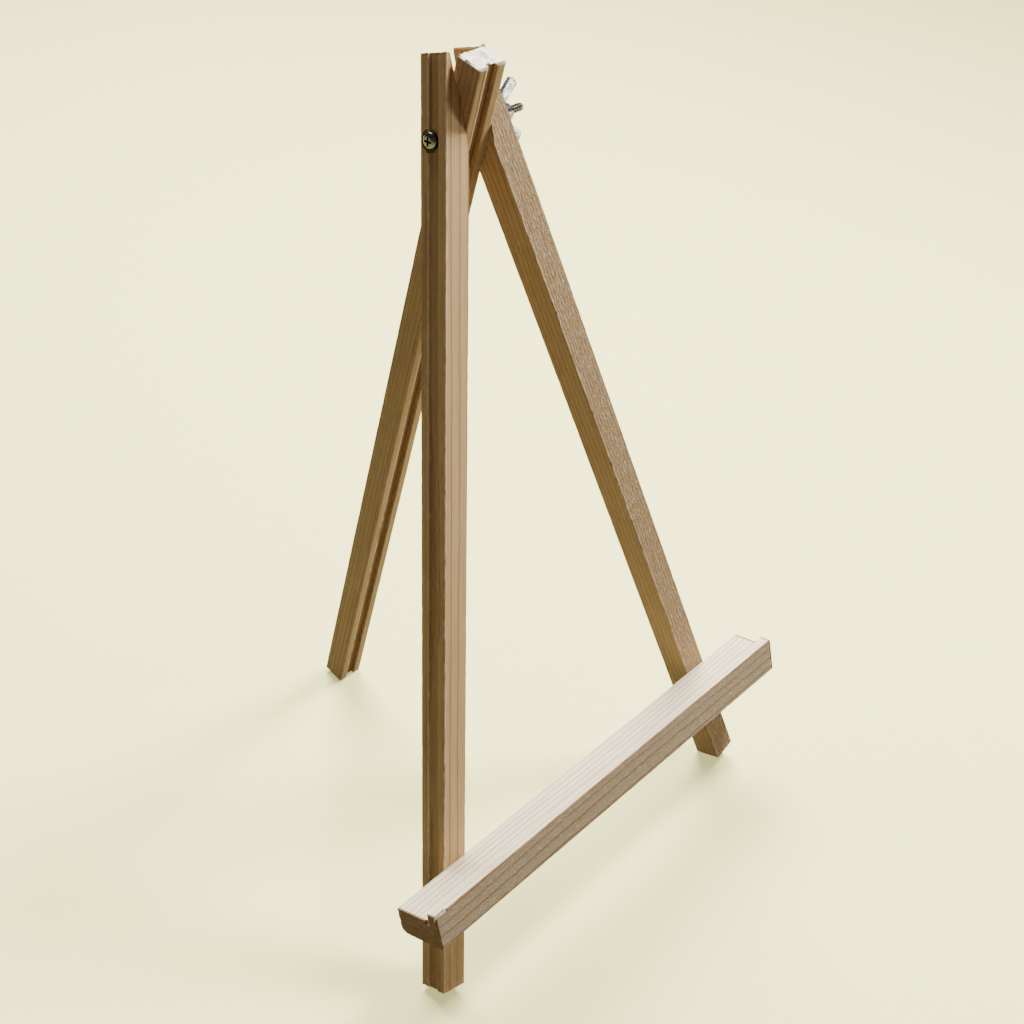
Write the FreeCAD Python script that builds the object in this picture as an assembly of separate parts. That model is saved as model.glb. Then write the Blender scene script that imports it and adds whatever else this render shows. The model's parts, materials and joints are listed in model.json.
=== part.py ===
import FreeCAD, Part
import math
import os

# A folding tabletop easel in softwood.  Two splayed front legs are clamped on both sides of
# one rear leg by a single bolt with a wing nut, and a rebated ledge across the front legs
# carries the picture.  Units are millimetres and degrees.  X runs to the right along the
# bolt, Y to the back and Z up.  The finished easel stands on Z = 0, centred on X and Y.

# ---- Driving dimensions -------------------------------------------------------------------

# Planed stock of all three legs, with one shallow groove along a wide face.
STOCK_WIDE = 16.0
STOCK_NARROW = 14.0
GROOVE_WIDTH = 6.0
FRONT_GROOVE_DEPTH = 0.7
REAR_GROOVE_DEPTH = 2.0

# Front legs, measured along the leg from the level of the bolt.  The right leg is sawn a
# little shorter at the top, and the feet are sawn with their front edge higher.
FRONT_LEG_BELOW_BOLT = 413.5
LEFT_LEG_ABOVE_BOLT = 34.5
RIGHT_LEG_ABOVE_BOLT = 33.2
FOOT_BEVEL = 8.0
SPLAY = 14.3
LEAN = 17.0
LEG_AXIS_AT_BOLT = 12.9
BOLT_BEHIND_MIDDLE = 2.2

# Rear leg, held between the sawn flats of the front legs.
REAR_LEG_BELOW_BOLT = 393.9
REAR_LEG_ABOVE_BOLT = 36.1
REAR_LEG_BOLT_BEHIND_MIDDLE = 1.9
CLAMP_GAP = 0.05

# Ledge: a strip with a shelf behind and a raised lip in front.  Both ends are sawn a few
# degrees off square, so that the back edge is the longest.
LEDGE_LENGTH = 272.0
LEDGE_LEFT_END_ANGLE = 6.5
LEDGE_RIGHT_END_ANGLE = 3.5
LEDGE_HEIGHT = 19.0
LEDGE_DEPTH = 24.5
LIP_HEIGHT = 4.7
LIP_THICKNESS = 6.0
LEDGE_ROUNDING = 4.0
LEDGE_BELOW_BOLT = 345.0

# Pivot bolt: M4 pan head with a cross recess, cut to length, and a plain washer.
BOLT_DIAMETER = 4.0
BOLT_LENGTH = 56.5
BOLT_TIP_CHAMFER = 0.5
BOLT_HOLE_DIAMETER = 4.16
HEAD_DIAMETER = 8.0
HEAD_HEIGHT = 3.1
HEAD_RIM_HEIGHT = 1.1
HEAD_CROWN_DIAMETER = 3.6
HEAD_SHOULDER_HEIGHT = 2.5
HEAD_SHOULDER_DIAMETER = 6.8
HEAD_SEAT = 18.3
HEAD_RECESS_DIAMETER = 10.4
CROSS_LENGTH = 4.4
CROSS_WIDTH = 1.1
CROSS_DEPTH = 1.8
WASHER_DIAMETER = 12.0
WASHER_THICKNESS = 1.0
WASHER_SEAT = 21.4
WASHER_RECESS_DIAMETER = 12.8
SEAT_GAP = 0.05

# Wing nut, bored to run on the bolt; the wings are flat blades that rise past the hub.
HUB_BASE_DIAMETER = 9.5
HUB_TOP_DIAMETER = 8.0
HUB_HEIGHT = 6.5
WING_THICKNESS = 1.8
WING_TILT = 12.5
# Outline of one wing: height above the hub's base, then distance from the bolt's axis.
WING_OUTLINE = [
    (1.4, 3.2),
    (5.5, 3.2),
    (5.5, 4.8),
    (13.5, 10.8),
    (9.6, 14.9),
    (2.4, 8.8),
    (1.4, 5.2),
]

# Two countersunk wood screws, driven from behind through the front legs into the ledge.
SCREW_DIAMETER = 3.0
SCREW_LENGTH = 30.0
SCREW_HEAD_DIAMETER = 6.0
SCREW_TIP_LENGTH = 4.0

# Cutting tools run past the wood by this much, and saw blocks are this large.
OVERRUN = 5.0
WASTE = 80.0
AXIS_X = FreeCAD.Vector(1, 0, 0)
AXIS_Y = FreeCAD.Vector(0, 1, 0)
AXIS_Z = FreeCAD.Vector(0, 0, 1)
PIVOT = FreeCAD.Vector(0, 0, 0)
LEFT = -1
RIGHT = 1

# ---- Worked out from the driving dimensions -----------------------------------------------

HALF_CLAMP = STOCK_WIDE / 2
FRAME_FRONT = -STOCK_WIDE / 2 - BOLT_BEHIND_MIDDLE
FRAME_BACK = STOCK_WIDE / 2 - BOLT_BEHIND_MIDDLE
REAR_LEG_FRONT = -STOCK_NARROW / 2 - REAR_LEG_BOLT_BEHIND_MIDDLE
REAR_LEG_BACK = STOCK_NARROW / 2 - REAR_LEG_BOLT_BEHIND_MIDDLE


def bolt_height():
    """Height of the bolt over the floor: a front leg stands on its inner rear bottom corner."""
    splay = math.radians(SPLAY)
    lean = math.radians(LEAN)
    down_the_frame = FRONT_LEG_BELOW_BOLT * math.cos(splay) + STOCK_NARROW / 2 * math.sin(splay)
    return down_the_frame * math.cos(lean) + FRAME_BACK * math.sin(lean)


def rear_leg_slope():
    """Slope of the rear leg from upright, so that its front bottom edge is on the floor too."""
    reach = math.hypot(REAR_LEG_BELOW_BOLT, REAR_LEG_FRONT)
    corner = math.degrees(math.atan2(-REAR_LEG_FRONT, REAR_LEG_BELOW_BOLT))
    return corner + math.degrees(math.acos(bolt_height() / reach))


# ---- Small helpers ------------------------------------------------------------------------

def box(x_range, y_range, z_range):
    """A box between two limits on each axis."""
    corner = FreeCAD.Vector(x_range[0], y_range[0], z_range[0])
    sizes = [limits[1] - limits[0] for limits in (x_range, y_range, z_range)]
    return Part.makeBox(sizes[0], sizes[1], sizes[2], corner)


def rod(diameter, x_start, x_end):
    """A round rod along the bolt's axis."""
    return Part.makeCylinder(diameter / 2, x_end - x_start, FreeCAD.Vector(x_start, 0, 0), AXIS_X)


def turned(points):
    """A solid turned about the bolt's axis from an outline of (x, radius) points."""
    edges = []
    for start, end in zip(points, points[1:] + points[:1]):
        a = FreeCAD.Vector(start[0], 0, start[1])
        b = FreeCAD.Vector(end[0], 0, end[1])
        edges.append(Part.makeLine(a, b))
    face = Part.Face(Part.Wire(edges))
    return face.revolve(PIVOT, AXIS_X, 360)


def lean_back(shape):
    """Tip a shape of the upright front frame back about the bolt."""
    shape.rotate(PIVOT, AXIS_X, -LEAN)
    return shape


# ---- Wooden pieces ------------------------------------------------------------------------

def front_leg(side, above_bolt, recess_diameter, seat):
    """One front leg: grooved outside, sawn flat inside at the top, bored along the bolt."""
    half = STOCK_NARROW / 2
    across = (-half, half)
    depth = (FRAME_FRONT, FRAME_BACK)
    leg = box(across, depth, (-FRONT_LEG_BELOW_BOLT, above_bolt))
    groove_sides = sorted((side * (half - FRONT_GROOVE_DEPTH), side * (half + OVERRUN)))
    groove_middle = -BOLT_BEHIND_MIDDLE
    groove_depths = (groove_middle - GROOVE_WIDTH / 2, groove_middle + GROOVE_WIDTH / 2)
    groove_run = (-FRONT_LEG_BELOW_BOLT - OVERRUN, above_bolt + OVERRUN)
    leg = leg.cut(box(groove_sides, groove_depths, groove_run))
    waste = box((-WASTE, WASTE), (FRAME_BACK - WASTE, FRAME_BACK), (-WASTE, 0))
    waste.rotate(FreeCAD.Vector(0, FRAME_BACK, 0), AXIS_X, -FOOT_BEVEL)
    waste.translate(FreeCAD.Vector(0, 0, -FRONT_LEG_BELOW_BOLT))
    leg = leg.cut(waste)
    leg.rotate(PIVOT, AXIS_Y, -side * SPLAY)
    leg.translate(FreeCAD.Vector(side * LEG_AXIS_AT_BOLT, 0, 0))
    inner_waste = sorted((side * HALF_CLAMP, -side * WASTE))
    leg = leg.cut(box(inner_waste, (-WASTE, WASTE), (-WASTE, WASTE)))
    hole_run = sorted((0, side * WASTE))
    leg = leg.cut(rod(BOLT_HOLE_DIAMETER, hole_run[0], hole_run[1]))
    recess_run = sorted((side * seat, side * WASTE))
    leg = leg.cut(rod(recess_diameter, recess_run[0], recess_run[1]))
    return lean_back(leg)


def rear_leg():
    """The rear leg: grooved in front, bored crosswise, sloping down to the back."""
    half_wide = STOCK_WIDE / 2 - CLAMP_GAP
    along = (-REAR_LEG_BELOW_BOLT, REAR_LEG_ABOVE_BOLT)
    leg = box((-half_wide, half_wide), (REAR_LEG_FRONT, REAR_LEG_BACK), along)
    groove_depths = (REAR_LEG_FRONT - OVERRUN, REAR_LEG_FRONT + REAR_GROOVE_DEPTH)
    groove_run = (along[0] - OVERRUN, along[1] + OVERRUN)
    leg = leg.cut(box((-GROOVE_WIDTH / 2, GROOVE_WIDTH / 2), groove_depths, groove_run))
    leg = leg.cut(rod(BOLT_HOLE_DIAMETER, -STOCK_WIDE, STOCK_WIDE))
    leg.rotate(PIVOT, AXIS_X, rear_leg_slope())
    return leg


def ledge():
    """The ledge: shelf, lip and a rounded lower back edge, flat against the front legs."""
    back = FRAME_FRONT
    bottom = -LEDGE_BELOW_BOLT
    left_end = -LEDGE_LENGTH / 2

    def at(forward, up):
        return FreeCAD.Vector(left_end, back - forward, bottom + up)

    shelf_height = LEDGE_HEIGHT - LIP_HEIGHT
    lip_back = LEDGE_DEPTH - LIP_THICKNESS
    corners = [
        at(0, LEDGE_ROUNDING),
        at(0, shelf_height),
        at(lip_back, shelf_height),
        at(lip_back, LEDGE_HEIGHT),
        at(LEDGE_DEPTH, LEDGE_HEIGHT),
        at(LEDGE_DEPTH, 0),
        at(LEDGE_ROUNDING, 0),
    ]
    edges = [Part.makeLine(a, b) for a, b in zip(corners, corners[1:])]
    middle = LEDGE_ROUNDING * (1 - math.sqrt(0.5))
    edges.append(Part.Arc(corners[-1], at(middle, middle), corners[0]).toShape())
    profile = Part.Face(Part.Wire(edges))
    strip = profile.extrude(FreeCAD.Vector(LEDGE_LENGTH, 0, 0))
    for side, angle in ((LEFT, LEDGE_LEFT_END_ANGLE), (RIGHT, LEDGE_RIGHT_END_ANGLE)):
        end = side * LEDGE_LENGTH / 2
        waste = box(sorted((end, end + side * WASTE)), (back - WASTE, back), (bottom, bottom + WASTE))
        waste.rotate(FreeCAD.Vector(end, back, 0), AXIS_Z, -side * angle)
        strip = strip.cut(waste)
    return lean_back(strip)


# ---- Metal pieces -------------------------------------------------------------------------

def pivot_bolt():
    """The bolt along X: domed pan head on the left, plain shank, chamfered tip on the right."""
    seat = -HEAD_SEAT
    rim = seat - HEAD_RIM_HEIGHT
    crown = seat - HEAD_HEIGHT
    seat_middle = FreeCAD.Vector(seat, 0, 0)
    seat_edge = FreeCAD.Vector(seat, 0, HEAD_DIAMETER / 2)
    rim_edge = FreeCAD.Vector(rim, 0, HEAD_DIAMETER / 2)
    shoulder = FreeCAD.Vector(seat - HEAD_SHOULDER_HEIGHT, 0, HEAD_SHOULDER_DIAMETER / 2)
    crown_edge = FreeCAD.Vector(crown, 0, HEAD_CROWN_DIAMETER / 2)
    crown_middle = FreeCAD.Vector(crown, 0, 0)
    outline = [
        Part.makeLine(seat_middle, seat_edge),
        Part.makeLine(seat_edge, rim_edge),
        Part.Arc(rim_edge, shoulder, crown_edge).toShape(),
        Part.makeLine(crown_edge, crown_middle),
        Part.makeLine(crown_middle, seat_middle),
    ]
    head = Part.Face(Part.Wire(outline)).revolve(PIVOT, AXIS_X, 360)
    floor = crown + CROSS_DEPTH
    across = (-CROSS_LENGTH / 2, CROSS_LENGTH / 2)
    narrow = (-CROSS_WIDTH / 2, CROSS_WIDTH / 2)
    head = head.cut(box((crown - OVERRUN, floor), across, narrow))
    head = head.cut(box((crown - OVERRUN, floor), narrow, across))
    tip = seat + BOLT_LENGTH
    radius = BOLT_DIAMETER / 2
    shank = turned([
        (seat, 0),
        (seat, radius),
        (tip - BOLT_TIP_CHAMFER, radius),
        (tip, radius - BOLT_TIP_CHAMFER),
        (tip, 0),
    ])
    return head.fuse(shank).removeSplitter()


def pivot_washer():
    """The plain washer in its flat on the right front leg."""
    start = WASHER_SEAT + SEAT_GAP
    disc = rod(WASHER_DIAMETER, start, start + WASHER_THICKNESS)
    return disc.cut(rod(BOLT_HOLE_DIAMETER, start - OVERRUN, start + OVERRUN))


def wing_nut():
    """The wing nut: a tapered hub with two blades, turned a little off upright."""
    base = WASHER_SEAT + WASHER_THICKNESS + 2 * SEAT_GAP
    top = base + HUB_HEIGHT
    nut = turned([(base, 0), (base, HUB_BASE_DIAMETER / 2), (top, HUB_TOP_DIAMETER / 2), (top, 0)])
    face = -WING_THICKNESS / 2
    for up in (1, -1):
        corners = [FreeCAD.Vector(base + x, face, up * radius) for x, radius in WING_OUTLINE]
        blade = Part.Face(Part.makePolygon(corners + corners[:1]))
        nut = nut.fuse(blade.extrude(FreeCAD.Vector(0, WING_THICKNESS, 0)))
    nut = nut.removeSplitter()
    nut = nut.cut(rod(BOLT_HOLE_DIAMETER, base - OVERRUN, top + WASTE))
    nut.rotate(PIVOT, AXIS_X, -WING_TILT)
    return nut


def ledge_screw(side):
    """One countersunk screw square to the frame, its head flush with the back of the leg."""
    up_the_ledge = (LEDGE_HEIGHT - LIP_HEIGHT) / 2
    below_bolt = LEDGE_BELOW_BOLT - up_the_ledge
    along_leg = below_bolt / math.cos(math.radians(SPLAY))
    across = LEG_AXIS_AT_BOLT + along_leg * math.sin(math.radians(SPLAY))
    head = SCREW_HEAD_DIAMETER / 2
    radius = SCREW_DIAMETER / 2
    screw = turned([
        (0, 0),
        (0, head),
        (head - radius, radius),
        (SCREW_LENGTH - SCREW_TIP_LENGTH, radius),
        (SCREW_LENGTH, 0),
    ])
    screw.rotate(PIVOT, AXIS_Z, -90)
    screw.translate(FreeCAD.Vector(side * across, FRAME_BACK, -below_bolt))
    return lean_back(screw)


# ---- Assembly -----------------------------------------------------------------------------

def assemble():
    """All pieces by node name, still with the bolt's middle at the origin."""
    screws = [ledge_screw(LEFT), ledge_screw(RIGHT)]
    left = front_leg(LEFT, LEFT_LEG_ABOVE_BOLT, HEAD_RECESS_DIAMETER, HEAD_SEAT).cut(screws[0])
    right = front_leg(RIGHT, RIGHT_LEG_ABOVE_BOLT, WASHER_RECESS_DIAMETER, WASHER_SEAT).cut(screws[1])
    strip = ledge().cut(screws[0]).cut(screws[1])
    return {
        "left_front_leg": left,
        "right_front_leg": right,
        "rear_leg": rear_leg(),
        "picture_ledge": strip,
        "pivot_bolt": pivot_bolt(),
        "pivot_washer": pivot_washer(),
        "wing_nut": wing_nut(),
        "ledge_screws": Part.makeCompound(screws),
    }


def stand_on_floor(pieces):
    """Move all pieces so that the feet are on Z = 0 and the easel is centred on the origin."""
    whole = Part.makeCompound(list(pieces.values()))
    limits = whole.optimalBoundingBox()
    shift = FreeCAD.Vector(0, -(limits.YMin + limits.YMax) / 2, bolt_height())
    for shape in pieces.values():
        shape.translate(shift)
    return shift


def main():
    os.makedirs("parts", exist_ok=True)
    pieces = assemble()
    shift = stand_on_floor(pieces)
    print("bolt axis at Y %.3f Z %.3f" % (shift.y, shift.z))
    print("rear leg slope %.3f, opening %.3f" % (rear_leg_slope(), rear_leg_slope() + LEAN))
    for name, shape in pieces.items():
        limits = shape.optimalBoundingBox()
        size = (limits.XLength, limits.YLength, limits.ZLength)
        amount = (name, len(shape.Solids), shape.Volume)
        print("%-16s solids %d volume %.0f size %.1f x %.1f x %.1f" % (amount + size))
        shape.exportStep("parts/" + name + ".step")


main()
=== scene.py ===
# %% [markdown]
# # A folding tabletop easel in bare pine
# Three planed sticks meet on one bolt, a wing nut clamps them, and a rebated ledge carries
# the picture.  The design comes from a fixed frame.  The frame says where
# every piece sits, and this lesson gives each piece its worn edges, saw marks and finish.

# %% Load the frame
import json
import math

import bmesh
import bpy
from mathutils import Euler, Matrix, Vector


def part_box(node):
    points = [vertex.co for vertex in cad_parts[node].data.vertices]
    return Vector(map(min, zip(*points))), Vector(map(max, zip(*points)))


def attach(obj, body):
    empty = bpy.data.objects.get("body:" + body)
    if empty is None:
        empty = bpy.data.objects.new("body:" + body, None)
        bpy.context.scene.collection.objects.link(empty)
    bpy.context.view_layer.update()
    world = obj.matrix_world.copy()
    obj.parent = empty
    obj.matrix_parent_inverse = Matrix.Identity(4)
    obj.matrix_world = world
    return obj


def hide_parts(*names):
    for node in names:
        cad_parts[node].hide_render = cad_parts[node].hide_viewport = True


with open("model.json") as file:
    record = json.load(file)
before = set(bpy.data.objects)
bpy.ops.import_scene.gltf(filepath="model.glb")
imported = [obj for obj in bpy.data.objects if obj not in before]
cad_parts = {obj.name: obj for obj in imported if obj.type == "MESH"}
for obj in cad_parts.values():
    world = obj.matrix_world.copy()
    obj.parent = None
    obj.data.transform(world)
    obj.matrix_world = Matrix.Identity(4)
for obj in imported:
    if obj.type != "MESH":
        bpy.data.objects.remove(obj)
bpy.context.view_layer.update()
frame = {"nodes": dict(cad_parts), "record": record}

print("nodes", sorted(frame["nodes"]))

# %% [markdown]
# ## Where things are
# The fold joint's place is the middle of the bolt, and the shelf's direction gives the lean
# of the front frame.  The boxes of the nodes give the flats of the rear leg, the bolt's head
# and the ends of the ledge.  Sizes that a box can't give, such as the section of a stick,
# are named once here in millimetres.

# %% Places and sizes
MM = 0.001
joints = {joint["name"]: joint for joint in frame["record"]["behaviour"]["joints"]}
mounts = {mount["name"]: mount for mount in frame["record"]["mounts"]}
PIVOT = Vector(joints["rear_leg_fold"]["pos_m"])
shelf_up = Vector(mounts["picture_shelf"]["axis"])
LEAN = math.atan2(shelf_up.y, shelf_up.z)
SPLAY = math.radians(14.3)
REAR_SLOPE = math.radians(12.47)
STICK_WIDE = 16 * MM
STICK_NARROW = 14 * MM
LEG_AXIS_AT_BOLT = 12.9 * MM
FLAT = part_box("rear_leg")[1].x + 0.05 * MM
LEFT = -1
RIGHT = 1
print("pivot", tuple(round(v, 5) for v in PIVOT), "lean", round(math.degrees(LEAN), 2))

# %% [markdown]
# ## The camera
# The easel is seen from its left front and from above, as a person at a table sees it.  The
# camera's place is in metres, and its tilt, roll and heading are in degrees.  A small lens
# shift moves the frame without turning the camera, so that upright lines keep their slant.

# %% Camera
CAMERA_PLACE = (-0.4188, -0.3675, 0.6234)
CAMERA_TILT = 53.86
CAMERA_ROLL = -0.70
CAMERA_HEADING = -43.82
LENS_LENGTH = 48.65
LENS_SHIFT = (0.115, -0.048)
bpy.ops.object.camera_add(location=CAMERA_PLACE)
camera = bpy.context.object
camera.name = "studio_camera"
camera.rotation_euler = Euler([math.radians(a) for a in (CAMERA_TILT, CAMERA_ROLL, CAMERA_HEADING)])
camera.data.sensor_width = 36
camera.data.lens = LENS_LENGTH
camera.data.shift_x, camera.data.shift_y = LENS_SHIFT
camera.data.clip_start = 0.01
camera.data.clip_end = 50
bpy.context.scene.camera = camera
print("camera", camera.name, "lens", camera.data.lens)

# %% [markdown]
# ## The floor and the light
# The floor is one large pale sheet.  The key light hangs to the right, a little in front and
# high up: the shelf shines, the front faces are half lit and the left sides fall into warm
# shade.  A weaker front light finds the edges of the rear leg, and a broad back light makes
# the shelf and the sawn tops shine.  The floor keeps out of the diffuse bounces, because its
# own glow would wash out the shade.

# %% Floor and lights
FLOOR_SIDE = 24
MIDDLE_OF_EASEL = Vector((0, 0, 0.22))


def lamp(name, direction, distance, size, power, colour):
    """A square area light that looks at the middle of the easel."""
    place = MIDDLE_OF_EASEL + Vector(direction).normalized() * distance
    bpy.ops.object.light_add(type="AREA", location=place)
    light = bpy.context.object
    light.name = name
    light.data.size = size
    light.data.energy = power
    light.data.color = colour
    light.rotation_euler = (MIDDLE_OF_EASEL - place).to_track_quat("-Z", "Y").to_euler()
    return light


def deselect():
    """Nothing selected, in object mode."""
    if bpy.context.object and bpy.context.object.mode != "OBJECT":
        bpy.ops.object.mode_set(mode="OBJECT")
    bpy.ops.object.select_all(action="DESELECT")


deselect()
bpy.ops.mesh.primitive_plane_add(size=1, location=(0, 0, 0))
floor = bpy.context.object
floor.name = "floor"
floor.scale = (FLOOR_SIDE, FLOOR_SIDE, 1)
bpy.ops.object.transform_apply(location=True, rotation=True, scale=True)
floor.visible_diffuse = False

key = lamp("key_light", (0.47, -0.16, 0.87), 1.15, 0.22, 29, (1.0, 0.975, 0.92))
front = lamp("front_light", (0.75, -0.65, 0.10), 2.0, 0.5, 20, (1.0, 0.93, 0.80))
fill = lamp("fill_light", (-0.75, -0.60, 0.35), 2.2, 1.6, 2.4, (1.0, 0.79, 0.57))
back = lamp("back_light", (0.32, 0.50, 0.80), 2.0, 1.0, 120, (1.0, 0.985, 0.90))

world = bpy.data.worlds.new("studio_air")
bpy.context.scene.world = world
world.use_nodes = True
air = world.node_tree.nodes["Background"]
air.inputs["Color"].default_value = (1.0, 0.85, 0.67, 1)
air.inputs["Strength"].default_value = 0.17
print("lights", key.name, front.name, fill.name, back.name)

# %% [markdown]
# ## Writing materials as sums
# A node tree is easier to read as arithmetic.  `Value` wraps one output socket, so that
# `1 - mask * depth` adds its own Math nodes.  `Finish` is a material being made, and its
# `node` method adds any other node: settings first, then the numbers and links of sockets.

# %% Value and Finish
class Value:
    """A number, colour or vector that varies over a surface."""

    def __init__(self, finish, socket):
        self.finish = finish
        self.socket = socket

    def math(self, operation, *others):
        sockets = dict(enumerate(others))
        return self.finish.node("ShaderNodeMath", {"operation": operation}, sockets)

    def __add__(self, other):
        return self.math("ADD", self, other)

    def __mul__(self, other):
        return self.math("MULTIPLY", self, other)

    def __sub__(self, other):
        return self.math("SUBTRACT", self, other)

    def __rsub__(self, other):
        return self.math("SUBTRACT", other, self)

    def __truediv__(self, other):
        return self.math("DIVIDE", self, other)

    __radd__ = __add__
    __rmul__ = __mul__

    def part(self):
        """The fraction after the decimal point."""
        return self.math("FRACT", self)

    def whole(self):
        return self.math("FLOOR", self)

    def size(self):
        """The number without its sign."""
        return self.math("ABSOLUTE", self)

    def root(self):
        return self.math("SQRT", self)

    def most(self, other):
        """The larger of the two."""
        return self.math("MAXIMUM", self, other)


class Finish:
    """A material under construction, with coordinates in millimetres."""

    def __init__(self, name):
        self.material = bpy.data.materials.new(name)
        self.material.use_nodes = True
        self.tree = self.material.node_tree
        self.shader = self.tree.nodes["Principled BSDF"]

    def node(self, kind, settings, sockets, output=0):
        made = self.tree.nodes.new(kind)
        for setting, value in settings.items():
            if setting == "stops":
                self.set_stops(made.color_ramp.elements, value)
            else:
                setattr(made, setting, value)
        for key, value in sockets.items():
            self.feed(made.inputs[key], value)
        return Value(self, made.outputs[output])

    def feed(self, socket, value):
        if isinstance(value, Value):
            self.tree.links.new(value.socket, socket)
        else:
            socket.default_value = value

    def set_stops(self, elements, stops):
        while len(elements) < len(stops):
            elements.new(0.5)
        for element, (place, level) in zip(elements, stops):
            element.position = place
            element.color = (level, level, level, 1)

    def place(self, matrix=Matrix.Identity(4)):
        """The point in a piece's own axes, in millimetres."""
        here = self.node("ShaderNodeTexCoord", {}, {}, "Object")
        sockets = {"Vector": here, "Location": matrix.translation,
                   "Rotation": matrix.to_euler(), "Scale": (MM, MM, MM)}
        return self.node("ShaderNodeMapping", {"vector_type": "TEXTURE"}, sockets)

    def split(self, vector):
        made = self.node("ShaderNodeSeparateXYZ", {}, {"Vector": vector})
        outputs = made.socket.node.outputs
        return [Value(self, outputs[axis]) for axis in "XYZ"]

    def join(self, x, y, z):
        return self.node("ShaderNodeCombineXYZ", {}, {"X": x, "Y": y, "Z": z})

    def noise(self, vector, detail, roughness=0.5):
        """Clouds about one unit of the vector across, so the vector is stretched first."""
        sockets = {"Vector": vector, "Scale": 1.0, "Detail": detail, "Roughness": roughness}
        return self.node("ShaderNodeTexNoise", {}, sockets, "Fac")

    def stretch(self, vector, x, y, z):
        """The same point with each axis multiplied, for streaks and flakes."""
        settings = {"operation": "MULTIPLY"}
        return self.node("ShaderNodeVectorMath", settings, {0: vector, 1: (x, y, z)})

    def ramp(self, value, stops):
        """A value read off a straight-lined curve of (place, level) stops."""
        made = self.node("ShaderNodeValToRGB", {"stops": stops}, {"Fac": value})
        return self.node("ShaderNodeSeparateColor", {}, {"Color": made})

    def mix(self, mask, first, second):
        sockets = {0: mask, 6: first, 7: second}
        return self.node("ShaderNodeMix", {"data_type": "RGBA"}, sockets, 2)

    def bump(self, height, distance):
        """A bump that is a distance high where height is 1."""
        sockets = {"Height": height, "Distance": distance, "Strength": 1.0}
        return self.node("ShaderNodeBump", {}, sockets)


print("shader helpers ready")

# %% [markdown]
# ## The floor's paper
# A studio's paper roll is matt and almost even.  Large faint clouds keep it from looking like
# a painted wall, a trace of tooth roughens it close up, and a little light of its own keeps it
# pale where the lamps fall off.

# %% Floor finish
paper = Finish("studio_paper")
paper_point = paper.place()
paper_clouds = paper.noise(paper.stretch(paper_point, 0.002, 0.002, 0.002), 3.0)
paper_tooth = paper.noise(paper.stretch(paper_point, 1.5, 1.5, 1.5), 2.0)
paper_base = paper.mix(paper_clouds, (0.95, 0.92, 0.40, 1), (0.97, 0.95, 0.45, 1))
paper.feed(paper.shader.inputs["Base Color"], paper_base)
paper.feed(paper.shader.inputs["Roughness"], 0.9 + paper_tooth * 0.05)
paper.feed(paper.shader.inputs["Normal"], paper.bump(paper_tooth, 0.05 * MM))
paper.shader.inputs["Specular IOR Level"].default_value = 0.1
paper.feed(paper.shader.inputs["Emission Color"], paper_base)
paper.shader.inputs["Emission Strength"].default_value = 0.55
floor.data.materials.append(paper.material)
print("made finish", paper.material.name)

# %% [markdown]
# ## Pine
# Softwood shows thin orange-brown lines, one for each winter, on a pale cream ground.  The
# legs are browner than the ledge.  The other colours are for saw cuts, torn fibres, a scorched
# edge, sawn ends, painted highlights along arrises and painted shade in a groove.  The ledge's
# sawn front and ends are darker partly as painted shade, and the rear leg's pale top is partly
# painted light.

# %% Pine colours
PALE_LEG = (0.55, 0.385, 0.20, 1)
WARM_LEG = (0.43, 0.245, 0.10, 1)
LINE_LEG = (0.12, 0.042, 0.011, 1)
PALE_LEDGE = (0.98, 0.91, 0.71, 1)
WARM_LEDGE = (0.60, 0.40, 0.21, 1)
LINE_LEDGE = (0.21, 0.09, 0.035, 1)
# Saw-cut grey for the ledge's front, made darker as painted shade on that face.
SAWN_GREY_AND_SHADE = (0.175, 0.128, 0.08, 1)
SAWN_PALE = (0.38, 0.285, 0.17, 1)
TORN_PALE = (0.95, 0.88, 0.76, 1)
SCORCHED = (0.30, 0.135, 0.05, 1)
# A painted highlight for arrises that catch the light.
EDGE_HIGHLIGHT = (0.82, 0.66, 0.42, 1)
# Dark end grain, darkened further as painted shade on the ledge's ends.
END_GRAIN_AND_SHADE = (0.15, 0.066, 0.026, 1)
# Painted shade for the floor and walls of a groove.
GROOVE_SHADE = (0.13, 0.062, 0.020, 1)
print("pine colours ready")

# %% [markdown]
# ## Masks on wood
# Every mark on the wood starts as a mask between 0 and 1.  A stick is sawn from far outside
# the heart of the tree, so its rings are nearly flat sheets that run along it.  Distance from
# a far heart, divided by the gap between two rings, gives the same pattern on the faces and on
# the sawn ends at once.

# %% Masks
RING_STOPS = [(0.0, 0.85), (0.025, 0.0), (0.55, 0.03), (0.82, 0.14), (0.90, 0.9), (0.96, 1.0)]


def rings(wood, x, y, z, heart, gap, seed):
    """0 on pale wood, up to 1 on a winter line, and the number of the ring."""
    path = wood.join(x * 0.03 + seed, y * 0.03, z * 0.006)
    sway = (wood.noise(path, 2.0) - 0.5) * 4.5
    fine_path = wood.join(x * 0.4, y * 0.4 + seed, z * 0.02)
    shiver = (wood.noise(fine_path, 1.0) - 0.5) * 0.35
    across = x - heart[0]
    along = y - heart[1]
    distance = (across * across + along * along).root()
    count = (distance + sway + shiver) / gap + seed
    return wood.ramp(count.part(), RING_STOPS), count.whole()


def saw_cut(wood, point):
    """The flakes, the short fibres and the deep chips of a face left rough from the saw."""
    torn = wood.noise(wood.stretch(point, 1.0, 1.0, 0.34), 4.0, 0.68)
    fibres = wood.noise(wood.stretch(point, 3.4, 3.4, 1.6), 2.0, 0.7)
    deep = wood.noise(wood.stretch(point, 0.9, 0.9, 0.26), 3.0, 0.65)
    flakes = wood.ramp(torn, [(0.40, 0), (0.58, 1)])
    chips = wood.ramp(deep, [(0.56, 0), (0.66, 1)])
    return flakes, fibres, chips


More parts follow.
